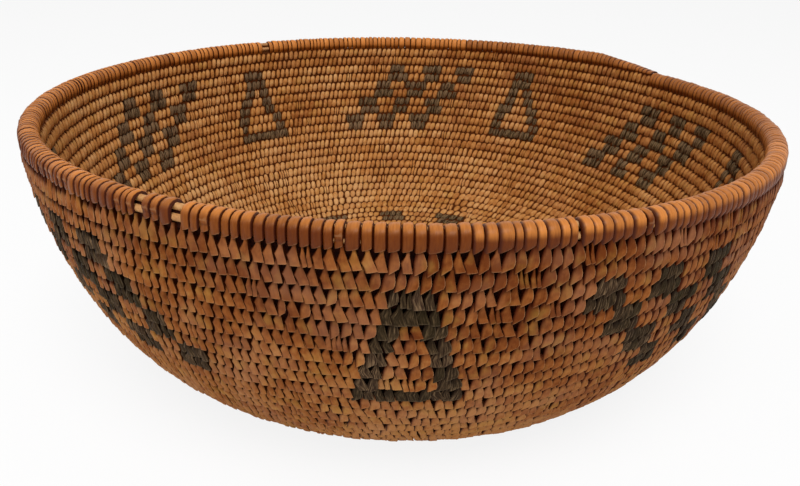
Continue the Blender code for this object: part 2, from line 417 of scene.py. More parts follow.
ROD_WOOD = rod_finish()
SHADOW = shadow_finish()

# %% [markdown]
# ## One stitch
# A stitch is a splint that goes right round the coil. On the outside of the bowl it is a petal: it comes
# out narrow from under the row above, widens, and ends in a low slanted edge that stands proud of the row
# below, so a dark hole opens beside its narrow top. On the inside it is a rounded grain. Each face is five
# rows of five points with a thin lip behind its border, and the two lips are joined into one closed body.
# It has only 80 faces, because it is used thousands of times.
#
# In the stitch's own space X runs along the coil, Z up the wall, and minus Y is out of the bowl. Sizes are
# in millimetres.

# %% A closed body from two faces
LIP_DEPTH = 0.6
LIP_INSET = 0.3
CRISP_ANGLE = 50.0
COLUMN_SHARES = (0.0, 0.17, 0.38, 0.85, 1.0)
COLUMN_ROUNDNESS = (1.0, 0.35, 0.0, 0.25, 1.0)  # how much of its edge's height each column takes
STITCH_LAYERS = ("across", "down", "light", "groove", "inside", "worn")
INSIDE_FIBRES = 3.0  # how far down the same splint the inside face lies
PALE_END_AND_HIGHLIGHT = 0.8  # pale cut end with a painted highlight


def face_grid(mesh, rows, side):
    """Points for one face. A row has heights and ends at left and right, and three distances out."""
    grid = []
    for left_height, right_height, left, right, (left_stand, middle_stand, right_stand) in rows:
        line = []
        for share, roundness in zip(COLUMN_SHARES, COLUMN_ROUNDNESS):
            height = left_height * (1.0 - share) + right_height * share
            across = left * (1.0 - share) + right * share
            edge = left_stand if share < 0.5 else right_stand
            stand = middle_stand + (edge - middle_stand) * roundness
            line.append(mesh.verts.new(Vector((across, -side * stand, height)) * MM))
        grid.append(line)
    for above, below in zip(grid, grid[1:]):
        for i in range(len(COLUMN_SHARES) - 1):
            mesh.faces.new((above[i], above[i + 1], below[i + 1], below[i]))
    return grid


def border(grid):
    """The points round a grid, in order."""
    right = [row[-1] for row in grid[1:-1]]
    left = [row[0] for row in grid[1:-1]]
    return grid[0] + right + grid[-1][::-1] + left[::-1]


def join_loops(mesh, first, second):
    for i, point in enumerate(first):
        j = (i + 1) % len(first)
        mesh.faces.new((point, first[j], second[j], second[i]))


def lip_behind(mesh, outline, side):
    """A second outline, drawn in and set back by the splint's thickness."""
    middle = sum((point.co for point in outline), Vector()) / len(outline)
    lip = []
    for point in outline:
        inwards = middle - point.co
        inwards.y = 0.0
        set_back = inwards.normalized() * LIP_INSET + Vector((0.0, side * LIP_DEPTH, 0.0))
        lip.append(mesh.verts.new(point.co + set_back * MM))
    join_loops(mesh, outline, lip)
    return lip


def mark_grid(grid, layers, inside, row_shades, column_shades, pale_side_and_highlight):
    """Writes a face's painted shade by row and column, and its pale edges with a painted highlight."""
    last = len(grid) - 1
    last_column = len(COLUMN_SHARES) - 1
    for number, row in enumerate(grid):
        for column, point in enumerate(row):
            point[layers["across"]] = COLUMN_SHARES[column]
            point[layers["down"]] = number / last + inside * INSIDE_FIBRES
            point[layers["inside"]] = inside
            point[layers["groove"]] = min(row_shades[number] + column_shades[column], 1.0)
            if number == last and not inside:
                point[layers["light"]] = PALE_END_AND_HIGHLIGHT
            elif column == last_column and number > 0:
                point[layers["light"]] = pale_side_and_highlight


def keep_template(name, mesh):
    bmesh.ops.recalc_face_normals(mesh, faces=mesh.faces)
    data = bpy.data.meshes.new(name)
    mesh.to_mesh(data)
    mesh.free()
    data.shade_smooth()
    data.set_sharp_from_angle(angle=math.radians(CRISP_ANGLE))
    template = bpy.data.objects.new(name, data)
    print(name, len(data.polygons), "faces")
    return template


def add_stitch(mesh, layers, outer, inner):
    lips = []
    for (rows, *shades), side, inside in ((outer, 1.0, 0.0), (inner, -1.0, 1.0)):
        grid = face_grid(mesh, rows, side)
        mark_grid(grid, layers, inside, *shades)
        lip = lip_behind(mesh, border(grid), side)
        # the lip behind the border is all painted shade
        for point in lip:
            point[layers["groove"]] = 1.0
            point[layers["inside"]] = inside
        lips.append(lip)
    join_loops(mesh, *lips)


def stitch_body(name, *faces):
    """A template from one or more pairs of an outer and an inner face."""
    mesh = bmesh.new()
    layers = {key: mesh.verts.layers.float.new(key) for key in STITCH_LAYERS}
    for outer, inner in faces:
        add_stitch(mesh, layers, outer, inner)
    return keep_template(name, mesh)


# %% The petals outside and the grain inside
# A row is (height at left, height at right, left, right, (left, middle, right) out). Shades are the painted
# shade in the creases by row and by column, and how pale the right edge is, with a painted highlight.
PETAL = (
    (4.0, 4.0, -0.50, 0.30, (2.4, 2.8, 2.4)),
    (2.3, 2.2, -0.70, 0.45, (2.8, 3.2, 2.8)),
    (0.3, 0.2, -1.75, 0.95, (3.2, 3.7, 3.2)),
    (-1.2, -1.2, -1.25, 1.35, (3.4, 3.85, 3.5)),
    (-2.5, -2.2, -1.00, 1.70, (3.8, 4.0, 3.85)),
)
PETAL_SHADES = (0.7, 0.0, 0.0, 0.0, 0.0), (1.0, 0.15, 0.0, 0.0, 0.0), 0.8
EDGE_SHADES = (1.0, 0.9, 0.15, 0.0, 0.0), (0.5, 0.0, 0.0, 0.0, 0.2), 1.0
SCALE_PETAL = (
    (4.1, 4.0, -0.10, 0.75, (2.7, 3.0, 2.9)),
    (2.6, 2.4, -0.65, 1.18, (3.2, 3.4, 3.4)),
    (0.6, 0.7, -1.12, 1.52, (3.4, 3.75, 3.95)),
    (-1.5, -0.3, -1.32, 1.52, (3.5, 3.9, 4.15)),
    (-3.2, -1.2, -1.52, 1.25, (3.8, 4.1, 4.25)),
)
SCALE_SHADES = (1.0, 0.5, 0.1, 0.0, 0.0), (1.0, 0.35, 0.0, 0.0, 0.0), 0.95
FAR_PETAL = tuple((*row, (edge, middle, middle)) for *row, (edge, middle, _) in SCALE_PETAL)
FAR_SHADES = (1.0, 0.6, 0.1, 0.0, 0.0), (1.0, 0.8, 0.1, 0.0, 0.0), 0.95
GRAIN = (
    (2.68, 2.68, -1.02, 0.00, (2.4, 2.8, 2.4)),
    (1.75, 1.75, -1.55, 0.92, (2.9, 3.6, 2.9)),
    (0.0, 0.0, -1.50, 1.50, (3.0, 3.95, 3.0)),
    (-1.75, -1.75, -0.92, 1.55, (2.9, 3.6, 2.9)),
    (-2.68, -2.68, 0.00, 1.02, (2.4, 2.8, 2.4)),
)
GRAIN_SHADES = (0.9, 0.05, 0.0, 0.05, 0.9), (1.0, 0.1, 0.0, 0.1, 1.0), 0.0
SHADED_WIDTH = 0.93
SPLIT_PETALS = ((0.55, -0.60), (0.45, 0.85))  # width and middle of each half
SPLIT_GRAINS = ((0.5, -0.72), (0.5, 0.72))


def narrowed(rows, share, middle):
    """Rows squeezed to a share of their width, about another middle."""
    return [
        (left_height, right_height, left * share + middle, right * share + middle, stands)
        for left_height, right_height, left, right, stands in rows
    ]


grain = (GRAIN, *GRAIN_SHADES)
half_grains = [(narrowed(GRAIN, *half), *GRAIN_SHADES) for half in SPLIT_GRAINS]
half_petals = [(narrowed(PETAL, *half), *PETAL_SHADES) for half in SPLIT_PETALS]
stitches = bpy.data.collections.new("stitches")
for template in (
    stitch_body("stitch_0_petal", ((PETAL, *PETAL_SHADES), grain)),
    stitch_body("stitch_1_scale", ((SCALE_PETAL, *SCALE_SHADES), grain)),
    stitch_body("stitch_2_split", *zip(half_petals, half_grains)),
    stitch_body("stitch_3_shaded", ((narrowed(PETAL, SHADED_WIDTH, 0.0), *EDGE_SHADES), grain)),
    stitch_body("stitch_4_far_scale", ((FAR_PETAL, *FAR_SHADES), grain)),
):
    stitches.objects.link(template)
PETAL_KIND, SCALE_KIND, SPLIT_KIND, SHADED_KIND, FAR_SCALE_KIND = range(5)

# %% [markdown]
# ## The sewing tree
# The weaver does the same thing at every step: bring the splint over, pull it tight, move on. The tree does
# that too. It gets one point for each stitch, with its azimuth, the wall's lean, its kind, its size and its
# tone. It turns a copy of that kind of stitch to face out of the wall there, adds a little unevenness from
# fixed seeds, and makes it all real.

# %% Sewing tree
def start_tree(name, inputs):
    """A new Geometry Nodes tree and the wires from its named inputs."""
    tree = bpy.data.node_groups.new(name, "GeometryNodeTree")
    tree.interface.new_socket("Geometry", in_out="OUTPUT", socket_type="NodeSocketGeometry")
    for key, kind in inputs.items():
        tree.interface.new_socket(key, in_out="INPUT", socket_type="NodeSocket" + kind)
    group = tree.nodes.new("NodeGroupInput")
    return tree, {key: Wire(tree, group.outputs[key]) for key in inputs}


def end_tree(tree, made, finish):
    """Makes copies real, gives them their finish and leads them out of the tree."""
    made = add_node(tree, "GeometryNodeRealizeInstances", None, {"Geometry": made})
    made = add_node(tree, "GeometryNodeSetMaterial", None, {"Geometry": made, "Material": finish})
    output = tree.nodes.new("NodeGroupOutput")
    tree.links.new(made.socket, output.inputs[0])
    return tree


SEWING_INPUTS = {
    "Seats": "Geometry", "Stitches": "Collection", "Finish": "Material", "Uneven Width": "Float",
    "Uneven Length": "Float", "Uneven Slant": "Float", "Uneven Push": "Float", "Seed": "Int",
}
DRAWS = 7.0  # keeps the random numbers of one seed apart from the next


def sewing_tree():
    tree, given = start_tree("sew_stitches", SEWING_INPUTS)

    def around(middle, spread, offset):
        """A random number for each stitch, evenly spread on both sides of a middle."""
        low, high = spread * -1.0 + middle, spread + middle
        sockets = {2: low, 3: high, 8: given["Seed"] * DRAWS + offset}
        return add_node(tree, "FunctionNodeRandomValue", {"data_type": "FLOAT"}, sockets, 1)

    def named(name, kind="FLOAT"):
        return add_node(tree, "GeometryNodeInputNamedAttribute", {"data_type": kind}, {"Name": name})

    def turned(*angles):
        return add_node(tree, "FunctionNodeEulerToRotation", None, {0: vector(*angles)})

    shapes = {"Collection": given["Stitches"], "Separate Children": True, "Reset Children": True}
    shapes = add_node(tree, "GeometryNodeCollectionInfo", None, shapes)
    facing = turned(named("lean"), 0.0, named("azimuth") + math.pi / 2.0)
    slant = turned(0.0, around(0.0, given["Uneven Slant"], 1), 0.0)
    facing = add_node(tree, "FunctionNodeRotateRotation", {"rotation_space": "LOCAL"}, {0: facing, 1: slant})
    width = named("width") * around(1.0, given["Uneven Width"], 2)
    length = named("height") * around(1.0, given["Uneven Length"], 3)
    sewn = add_node(tree, "GeometryNodeInstanceOnPoints", None, {
        "Points": given["Seats"], "Instance": shapes, "Pick Instance": True,
        "Instance Index": named("kind", "INT"), "Rotation": facing,
        "Scale": vector(width, named("depth"), length),
    })
    push = vector(0.0, around(0.0, given["Uneven Push"], 5), around(0.0, given["Uneven Push"], 6))
    push = {"Instances": sewn, "Translation": push, "Local Space": True}
    sewn = add_node(tree, "GeometryNodeTranslateInstances", None, push)
    return end_tree(tree, sewn, given["Finish"])


SEWING = sewing_tree()
EVEN = {"Uneven Width": 0.13, "Uneven Length": 0.08, "Uneven Slant": 0.12, "Uneven Push": 0.0002}
RAGGED = {"Uneven Width": 0.25, "Uneven Length": 0.15, "Uneven Slant": 0.2, "Uneven Push": 0.0004}
BASE_SEED, FIGURE_SEED, RIM_SEED, KNOT_SEED = 40, 60, 80, 99  # the wall's are 1 to 25


# %% Run a tree and keep the plain mesh
def run_tree(name, seats, tree, values):
    """Makes an object from a mesh of seats, runs the tree on it and keeps the result as its mesh."""
    piece = new_object(name, seats)
    modifier = piece.modifiers.new(tree.name, "NODES")
    modifier.node_group = tree
    sockets = {item.name: item.identifier for item in tree.interface.items_tree if item.in_out == "INPUT"}
    for key, value in values.items():
        modifier[sockets[key]] = value
    depsgraph = bpy.context.evaluated_depsgraph_get()
    made = bpy.data.meshes.new_from_object(piece.evaluated_get(depsgraph), depsgraph=depsgraph)
    piece.modifiers.remove(modifier)
    piece.data = made
    made.name = name
    return piece


class Seat:
    """One stitch's place: turns down the coil, and how that stitch is made."""

    def __init__(self, turns, kind, tone, width=1.0, height=1.0, depth=1.0, below=0.0):
        self.turns, self.kind, self.tone = turns, kind, tone
        self.width, self.height, self.depth = width, height, depth
        self.point = coil_point(turns, below)
        self.azimuth = math.radians(azimuth_at(turns))
        self.lean = lean_at(turns * COIL_PITCH)


def seat_mesh(name, seats):
    """A mesh of loose points that carries each seat's numbers."""
    data = bpy.data.meshes.new(name + "_seats")
    data.from_pydata([seat.point for seat in seats], [], [])
    for key in ("azimuth", "lean", "width", "height", "depth", "tone", "kind"):
        values = [getattr(seat, key) for seat in seats]
        number_type = "INT" if key == "kind" else "FLOAT"
        data.attributes.new(key, number_type, "POINT").data.foreach_set("value", values)
    return data


# %% [markdown]
# ## The pattern
# The pattern is drawn by changing to a dark splint for some stitches. Five open triangles and five stepped
# checks alternate round the wall, in the third to the tenth turn below the rim, and a ring of small blocks
# lies on the floor. A stitch is dark on both sides of the wall, so one rule gives the figures inside and
# outside.

# %% Which figure a stitch belongs to
TRIANGLES = (59.3, 129.0, -160.0, -89.0, -9.0)  # azimuths of their middles
CHECKS = (83.1, 155.9, -136.0, -60.0, 15.0)
FIRST_FIGURE_TURN = 3
FIGURE_ROWS = 8
TRIANGLE_ROWS = (  # where the dark stitches of each row start and stop, in degrees from the middle
    (0.0, 2.5), (0.0, 2.5), (0.91, 3.31), (1.59, 3.99), (2.27, 4.67), (2.95, 5.35), (3.63, 6.03), (0.0, 6.4),
)
CHECK_COLUMNS = (-8.6, 0.0, 8.6)
CHECK_HALF = 2.15
CHECK_STEP = 3.8  # sideways after every two rows
FLOOR_BLOCK_TURNS = (23, 24)
FLOOR_BLOCK_AZIMUTH = 93.6
FLOOR_BLOCK_APART = 22.5
FLOOR_BLOCK_HALF = 4.75


def apart(azimuth, middle):
    """Degrees from middle to azimuth, between -180 and 180."""
    return (azimuth - middle + 180.0) % 360.0 - 180.0


def smoothed(value, low, high):
    """0 below low, 1 above high, and a straight slope between."""
    return min(max((value - low) / (high - low), 0.0), 1.0)


def row_at(turns, azimuth, middle):
    """Which turn a stitch belongs to where the coil passes a figure's middle, counted along the coil."""
    return round(turns - apart(azimuth, middle) / 360.0 - turns_to(middle)) - FIRST_FIGURE_TURN


def in_triangle(row, away):
    start, stop = TRIANGLE_ROWS[row]
    return start <= abs(away) <= stop


def in_check(row, away):
    from_middle = away - CHECK_STEP * (row // 2)
    return any(abs(from_middle - column) <= CHECK_HALF for column in CHECK_COLUMNS)


def in_floor_block(turns, azimuth):
    half = FLOOR_BLOCK_APART / 2.0
    away = (azimuth - FLOOR_BLOCK_AZIMUTH + half) % FLOOR_BLOCK_APART - half
    return int(turns) in FLOOR_BLOCK_TURNS and abs(away) <= FLOOR_BLOCK_HALF


def figure_at(turns):
    """The name of the dark figure at a place on the coil, or None."""
    azimuth = azimuth_at(turns)
    for kind, middles, inside in (("triangle", TRIANGLES, in_triangle), ("stepped_check", CHECKS, in_check)):
        for number, middle in enumerate(middles, 1):
            row = row_at(turns, azimuth, middle)
            if 0 <= row < FIGURE_ROWS and inside(row, apart(azimuth, middle)):
                return f"{kind}_{number}"
    return "floor_blocks" if in_floor_block(turns, azimuth) else None


# %% [markdown]
# ## Sew the wall and the base
# Each stitch is caught in the turn below, between two of its stitches, so the rows are laid like roof
# tiles. Lower turns are shorter, so now and then a stitch is left out, and its neighbours close up over the
# next few turns. A splint lasts for a dozen stitches or so, and then the next one has another tone.

# %% Seats for every turn
STITCH_SPACING = 3.1 * MM
COLUMN_SHIFT = 1.55 * MM  # half of the spacing, so that a stitch's top lies between two bottoms
SHIFT_SWING = 0.45 * MM  # more at the right of the bowl, less at its left
WANDER = 0.06  # how far a stitch strays, as a share of the spacing
BROAD = 0.08  # how much wider the petals are in the middle of the front
BROAD_REACH = 12.0  # degrees
NARROWEST, WIDEST = 0.75, 1.3  # shares of the usual width
FLATTER_BASE = 0.12  # how much thinner the stitches are on the base
CLOSING_UP = 5  # rounds of evening out the gaps
FEWEST_STITCHES = 6
STITCHES_IN_SPLINT = (7, 18)
OWN_TONE = 0.45  # a stitch's own share of its tone, and the rest is its splint's
BASE_LEAN = (60.0, 80.0)  # degrees of lean over which the wall becomes base
FRONT = -90.0
SPLIT_SHARE = 0.04
CURLING_FROM, CHANGE_OVER = -88.0, 15.0  # an azimuth on the front, and half the width of the change
FAR_RIGHT = (0.0, 52.0, 68.0)  # middle, least and most reach to both sides
FAR_LEFT = (-165.0, 34.0, 46.0)
DIM_OUTSIDE = (-40.0, 2, 0.17)  # middle, how fast it fades, how much darker
DIM_INSIDE = (20.0, 2, 0.42)
LIGHT_FAR_LEFT = (-172.0, 8, 0.10)
UPPER_TURNS = (-14.0, -5.0)  # DIM_OUTSIDE fades in between these turns, counted upwards
LAST_STITCH_TURNS = COIL_TURNS - 1.25
chance = random.Random(11)


def turn_around(turn):
    """Length of a turn."""
    return 2.0 * math.pi * wall_point((turn + 0.5) * COIL_PITCH)[0]


def column_shift(share):
    """How far left a stitch lies of the one above it."""
    return COLUMN_SHIFT + SHIFT_SWING * math.cos(math.radians(azimuth_at(share)))


def next_turn(shares, turn):
    """The stitches' places along a turn, as shares of it, from those of the turn above."""
    wanted = max(round(turn_around(turn) / STITCH_SPACING), FEWEST_STITCHES)
    dropped = len(shares) - wanted
    gone = {int((i + chance.random()) * len(shares) / dropped) for i in range(dropped)}
    kept = [share for i, share in enumerate(shares) if i not in gone]
    shares = [share - column_shift(share) / turn_around(turn) for share in kept]
    for _ in range(CLOSING_UP):
        ahead = shares[1:] + [shares[0] + 1.0]
        behind = [shares[-1] - 1.0] + shares[:-1]
        shares = [0.5 * share + 0.25 * (a + b) for share, a, b in zip(shares, ahead, behind)]
    return shares


def curling_share(azimuth):
    """The share of stitches that curl outwards. On the front and on the back they are at the right."""
    if abs(apart(azimuth, FRONT)) > 90.0:
        return (math.sin(math.radians(azimuth + FRONT)) + 1.0) / 2.0
    return smoothed(apart(azimuth, CURLING_FROM), -CHANGE_OVER, CHANGE_OVER)


def near(azimuth, middle, least, most):
    """Whether a place is near a middle. The reach is drawn each time, which makes the border ragged."""
    return abs(apart(azimuth, middle)) < chance.uniform(least, most)


def kind_at(azimuth):
    """A few stitches are split. The rest curl or not, and differ again at the far right and left."""
    if chance.random() < SPLIT_SHARE:
        return SPLIT_KIND
    if chance.random() < curling_share(azimuth):
        return FAR_SCALE_KIND if near(azimuth, *FAR_RIGHT) else SCALE_KIND
    return SHADED_KIND if near(azimuth, *FAR_LEFT) else PETAL_KIND


def patch(azimuth, middle, fading, strength):
    """Strongest at the middle and nothing from a quarter of the way round the bowl."""
    return strength * max(math.cos(math.radians(azimuth - middle)), 0.0) ** fading


def dimmed(turns, azimuth):
    """How much darker a splint is. The upper right is dark outside, the back right inside."""
    outside = patch(azimuth, *DIM_OUTSIDE) * smoothed(-turns, *UPPER_TURNS)
    return max(outside, patch(azimuth, *DIM_INSIDE)) - patch(azimuth, *LIGHT_FAR_LEFT)


def coil_seats():
    """Every stitch below the rim, from the top down."""
    seats = []
    tone, left = 0.5, 0
    count = round(turn_around(1) / STITCH_SPACING)
    shares = [(i + 0.5) / count for i in range(count)]
    for turn in range(1, int(LAST_STITCH_TURNS) + 1):
        around = turn_around(turn)
        for share, ahead in zip(shares, shares[1:] + [shares[0] + 1.0]):
            turns = turn + share + chance.uniform(-WANDER, WANDER) * STITCH_SPACING / around
            if left == 0:
                tone, left = chance.random(), chance.randint(*STITCHES_IN_SPLINT)
            left -= 1
            azimuth = azimuth_at(turns)
            mixed = (1.0 - OWN_TONE) * tone + OWN_TONE * chance.random() - dimmed(turns, azimuth)
            flat = smoothed(math.degrees(lean_at(turns * COIL_PITCH)), *BASE_LEAN)
            depth = 1.0 - FLATTER_BASE * flat
            width = min(max((ahead - share) * around / STITCH_SPACING, NARROWEST), WIDEST)
            width *= 1.0 + BROAD * math.exp(-(apart(azimuth, FRONT) / BROAD_REACH) ** 2)
            seats.append(Seat(turns, kind_at(azimuth), max(mixed, 0.0), width=width, depth=depth))
        shares = next_turn(shares, turn + 1)
    return [seat for seat in seats if 1.0 <= seat.turns < LAST_STITCH_TURNS]


# %% Sort the seats by splint
DARK_WIDTH, DARK_HEIGHT = 1.12, 1.04  # so that no natural splint shows between dark ones
seats = coil_seats()
figures = {}
natural_seats = []
for seat in seats:
    figure = figure_at(seat.turns)
    if figure:
        seat.width, seat.height = seat.width * DARK_WIDTH, seat.height * DARK_HEIGHT
        figures.setdefault(figure, []).append(seat)
    else:
        natural_seats.append(seat)
print("stitches:", len(seats))


def sew(name, chosen, finish, seed, nodes=(), uneven=EVEN, collection=None):
    """Sews stitches at the chosen seats and hands the piece to the frame."""
    values = {"Stitches": collection or stitches, "Finish": finish, "Seed": seed, **uneven}
    piece = run_tree(name, seat_mesh(name, chosen), SEWING, values)
    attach(piece, "root")
    if nodes:
        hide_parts(*nodes)
    return piece


# %% Wall
for turn in range(1, WALL_TURNS + 1):
    chosen = [seat for seat in natural_seats if turn <= seat.turns < turn + 1]
    sew(f"wall_stitches_{turn:02d}", chosen, NATURAL, turn, [f"wall_coil_{turn:02d}"])

# %% Base
BASE_PIECES = 8
base_share = (LAST_STITCH_TURNS - WALL_TURNS - 1.0) / BASE_PIECES
for number in range(1, BASE_PIECES + 1):
    stop = WALL_TURNS + 1.0 + base_share * number
    chosen = [seat for seat in natural_seats if stop - base_share <= seat.turns < stop]
    name = f"base_stitches_{number}"
    sew(name, chosen, NATURAL, BASE_SEED + number, [f"base_coils_{number}"])
    print(name, len(chosen), "stitches")

# %% Figures
for number, (name, chosen) in enumerate(sorted(figures.items())):
    sew(name, chosen, DARK, FIGURE_SEED + number, uneven=RAGGED)
print("figures:", {name: len(chosen) for name, chosen in sorted(figures.items())})

# %% [markdown]
# ## The rim
# Rim stitches are wide bands laid edge to edge right over the last turn. A band's outline is one line of
# points round the coil, from low on the outside over the top to low on the inside. From the middle of the
# front round to the right, each band's right edge lies over the next one. Some bands have lost their outer
# layer low on the outside, which leaves a step and a browner layer under it.

# %% A rim band
BAND_LINE = (
    (3.3, -2.2), (3.45, -1.6), (3.5, -0.9), (3.45, 0.1), (3.3, 1.3), (2.9, 2.5), (2.0, 3.4), (0.6, 3.9),
    (-1.1, 3.85), (-2.4, 3.1), (-3.2, 1.8), (-3.45, 0.2), (-3.3, -1.4), (-2.8, -2.6),
)
BAND_WIDTH = 2.72
BAND_FLARE = 0.25  # each side of the back, so that no light gets in between bands
BAND_THICKNESS = 0.75
BAND_SLANT = (1.0, 0.6, 0.2)  # how much of a band's slope its lowest rows take
WORN_DEPTH = 0.32
WORN_ROWS = 4  # rows without the outer layer
STEP_SHADE = 0.6  # painted shade under the edge of the outer layer
LIGHT_COLUMN, COLUMN_LIGHT = 3, 0.6  # a paler stripe along the band, a painted highlight near its right side
BAND_FIBRES = 4.0  # rows to one length of fibre
EVEN_COLUMNS = (  # across as a share of the width, rise, painted crease shade
    (-0.50, -0.60, 1.0), (-0.38, -0.18, 0.3), (0.0, 0.06, 0.0), (0.41, 0.02, 0.0), (0.50, -0.30, 1.0),
)
RAISED_COLUMNS = (  # the same, for a band with its right edge raised
    (-0.50, -0.50, 1.0), (-0.36, -0.20, 0.75), (-0.05, 0.05, 0.0), (0.36, 0.14, 0.0), (0.50, 0.02, 0.1),
)
POLISH_AND_SHEEN_INSIDE = -2.0  # height where the paler top, polish and painted sheen, starts on the inside of a band
POLISH_AND_SHEEN_RANGE = 2.6


def band_row(mesh, layers, number, step_row, slope, columns, polish_and_sheen_from):
    """The points across one row of a band, and the two behind its ends."""
    out, height = BAND_LINE[number]
    direction = Vector((0.0, -out, height)).normalized()
    low = WORN_DEPTH if number < step_row else 0.0
    slant = BAND_SLANT[number] if number < len(BAND_SLANT) else 0.0
    at_edge = number == 0 or (number == step_row and step_row > 0)
    start = polish_and_sheen_from if out > 0.0 else POLISH_AND_SHEEN_INSIDE
    row = []
    for column, (share, crown, groove) in enumerate(columns):
        across = share * BAND_WIDTH
        place = Vector((across, -out, height + across * slope * slant)) + direction * (crown - low)
        point = mesh.verts.new(place * MM)
        point[layers["across"]] = share + 0.5
        point[layers["down"]] = number / BAND_FIBRES
        point[layers["light"]] = PALE_END_AND_HIGHLIGHT if at_edge else COLUMN_LIGHT if column == LIGHT_COLUMN else 0.0
        point[layers["groove"]] = max(groove, STEP_SHADE if number == step_row - 1 else 0.0)
        # the paler top is polish and a painted sheen; the browner worn layer gets none
        point[layers["worn"]] = 0.0 if low else smoothed(height, start, start + POLISH_AND_SHEEN_RANGE)
        row.append(point)
    # the backs of the band's ends are all painted shade, where bands meet
    back = []
    for point, aside in ((row[0], -BAND_FLARE), (row[-1], BAND_FLARE)):
        place = point.co - direction * BAND_THICKNESS * MM + Vector((aside, 0.0, 0.0)) * MM
        back.append(mesh.verts.new(place))
        back[-1][layers["groove"]] = 1.0
    return row, back


def rim_band(name, step_row, slope, columns, polish_and_sheen_from):
    """A band that wraps the rim. Rows before step_row have lost their outer layer."""
    mesh = bmesh.new()
    layers = {key: mesh.verts.layers.float.new(key) for key in STITCH_LAYERS}
    shape = (step_row, slope, columns, polish_and_sheen_from)
    rows = [band_row(mesh, layers, number, *shape) for number in range(len(BAND_LINE))]
    for (row, back), (next_row, next_back) in zip(rows, rows[1:]):
        for i in range(len(row) - 1):
            mesh.faces.new((row[i], row[i + 1], next_row[i + 1], next_row[i]))
        mesh.faces.new((back[0], next_back[0], next_back[1], back[1]))
        mesh.faces.new((row[0], next_row[0], next_back[0], back[0]))
        mesh.faces.new((row[-1], back[1], next_back[1], next_row[-1]))
    for row, back in (rows[0], rows[-1]):
        mesh.faces.new((*row, back[1], back[0]))
    return keep_template(name, mesh)


bands = bpy.data.collections.new("bands")
for template in (
    rim_band("band_0_plain", 0, 0.40, EVEN_COLUMNS, 1.7),
    rim_band("band_1_worn", WORN_ROWS, 0.40, EVEN_COLUMNS, 1.7),
    rim_band("band_2_leaning", 0, 0.75, RAISED_COLUMNS, 0.0),
):
    bands.objects.link(template)
PLAIN_BAND, WORN_BAND, LEANING_BAND = range(3)

# %% [markdown]
# The bands go round the whole rim except where they have worn through. There the gaps show the rods. The
# coil's end thins out over a twenty-fourth of a turn and lies down on the turn below, so the bands there
# get smaller seats. Right after the worn places at the front come a few bright bands, and those near the
# coil's end are dark.

# %% Wrap the rim
RIM_SPACING = 3.05 * MM
RIM_TAPER_TURNS = 15.0 / 360.0
RIM_TIP = 0.3  # size of the last band
WORN_RIM = ((125.2, 0.0045), (-117.3, 0.0030), (-112.5, 0.0030), (-73.0, 0.0012))  # azimuth, length in m
BAND_WIDTHS = (0.72, 0.85, 0.95, 1.0, 1.05, 1.15, 1.3)
NICKS = (-64.5, 178.0)  # azimuths of bands that are broken and narrow
NICK_REACH = 0.65
NICK_WIDTH = 0.55
WORN_SHARE = 0.3
LEANING_MIDDLE = -26.0
LEANING_REACH = 58.0
TIP_DEPTH = 0.6
RIM_SHADES = (  # up to an azimuth: the darkest tone, and how much lighter it can be
    (-113.0, 0.25, 0.7), (-104.0, 0.7, 0.3), (-25.0, 0.25, 0.6), (75.0, 0.05, 0.35), (150.0, 0.55, 0.6),
    (180.0, 0.25, 0.7),
)
RIM_UNEVEN = {"Uneven Width": 0.03, "Uneven Length": 0.02, "Uneven Slant": 0.03, "Uneven Push": 0.00012}


def rim_tone(azimuth):
    """Bright at the back and beside the worn gaps, dark near the coil's end, mixed elsewhere."""
    darkest, spread = next(tones for limit, *tones in RIM_SHADES if azimuth < limit)
    return darkest + spread * chance.random()


def rim_band_seat(turns, width):
    """A seat for a band, smaller and lower where the coil thins out."""
    thin = 1.0 - min(turns / RIM_TAPER_TURNS, 1.0)
    size = 1.0 - (1.0 - RIM_TIP) * thin
    azimuth = apart(azimuth_at(turns), 0.0)
    kind = LEANING_BAND if abs(apart(azimuth, LEANING_MIDDLE)) < LEANING_REACH else PLAIN_BAND
    if kind == PLAIN_BAND and chance.random() < WORN_SHARE:
        kind = WORN_BAND
    if any(abs(apart(azimuth, nick)) < NICK_REACH for nick in NICKS):
        kind, width = WORN_BAND, NICK_WIDTH * width
    below = (1.0 - size) * COIL_PITCH / 2.0
    depth = TIP_DEPTH + (1.0 - TIP_DEPTH) * size
    return Seat(turns, kind, rim_tone(azimuth), width, size, depth, below)


def wrapped(first, last):
    """Seats of uneven width that fill a stretch of the rim from end to end."""
    room = (last - first) * 2.0 * math.pi * RIM_RADIUS
    widths = [chance.choice(BAND_WIDTHS) for _ in range(max(round(room / RIM_SPACING), 1))]
    scale = (last - first) / sum(widths)
    seats, turns = [], first
    for width in widths:
        step = width * scale
        seats.append(rim_band_seat(turns + step / 2.0, step * 2.0 * math.pi * RIM_RADIUS / RIM_SPACING))
        turns += step
    return seats


edges = [RIM_TAPER_TURNS]
for azimuth, length in WORN_RIM:
    reach = length / RIM_RADIUS / 4.0 / math.pi
    edges += [turns_to(azimuth) - reach, turns_to(azimuth) + reach]
edges.append(1.0)
stretches = [("rim_end_wrapping", "rim_end", 0.0, RIM_TAPER_TURNS)]
for number, stretch in enumerate(zip(edges[::2], edges[1::2]), 1):
    stretches.append((f"rim_bands_{number}", f"rim_wrapping_{number}", *stretch))
for number, (name, node, first, last) in enumerate(stretches):
    chosen = wrapped(first, last)
    sew(name, chosen, RIM, RIM_SEED + number, [node], RIM_UNEVEN, bands)
    print(name, len(chosen), "bands")

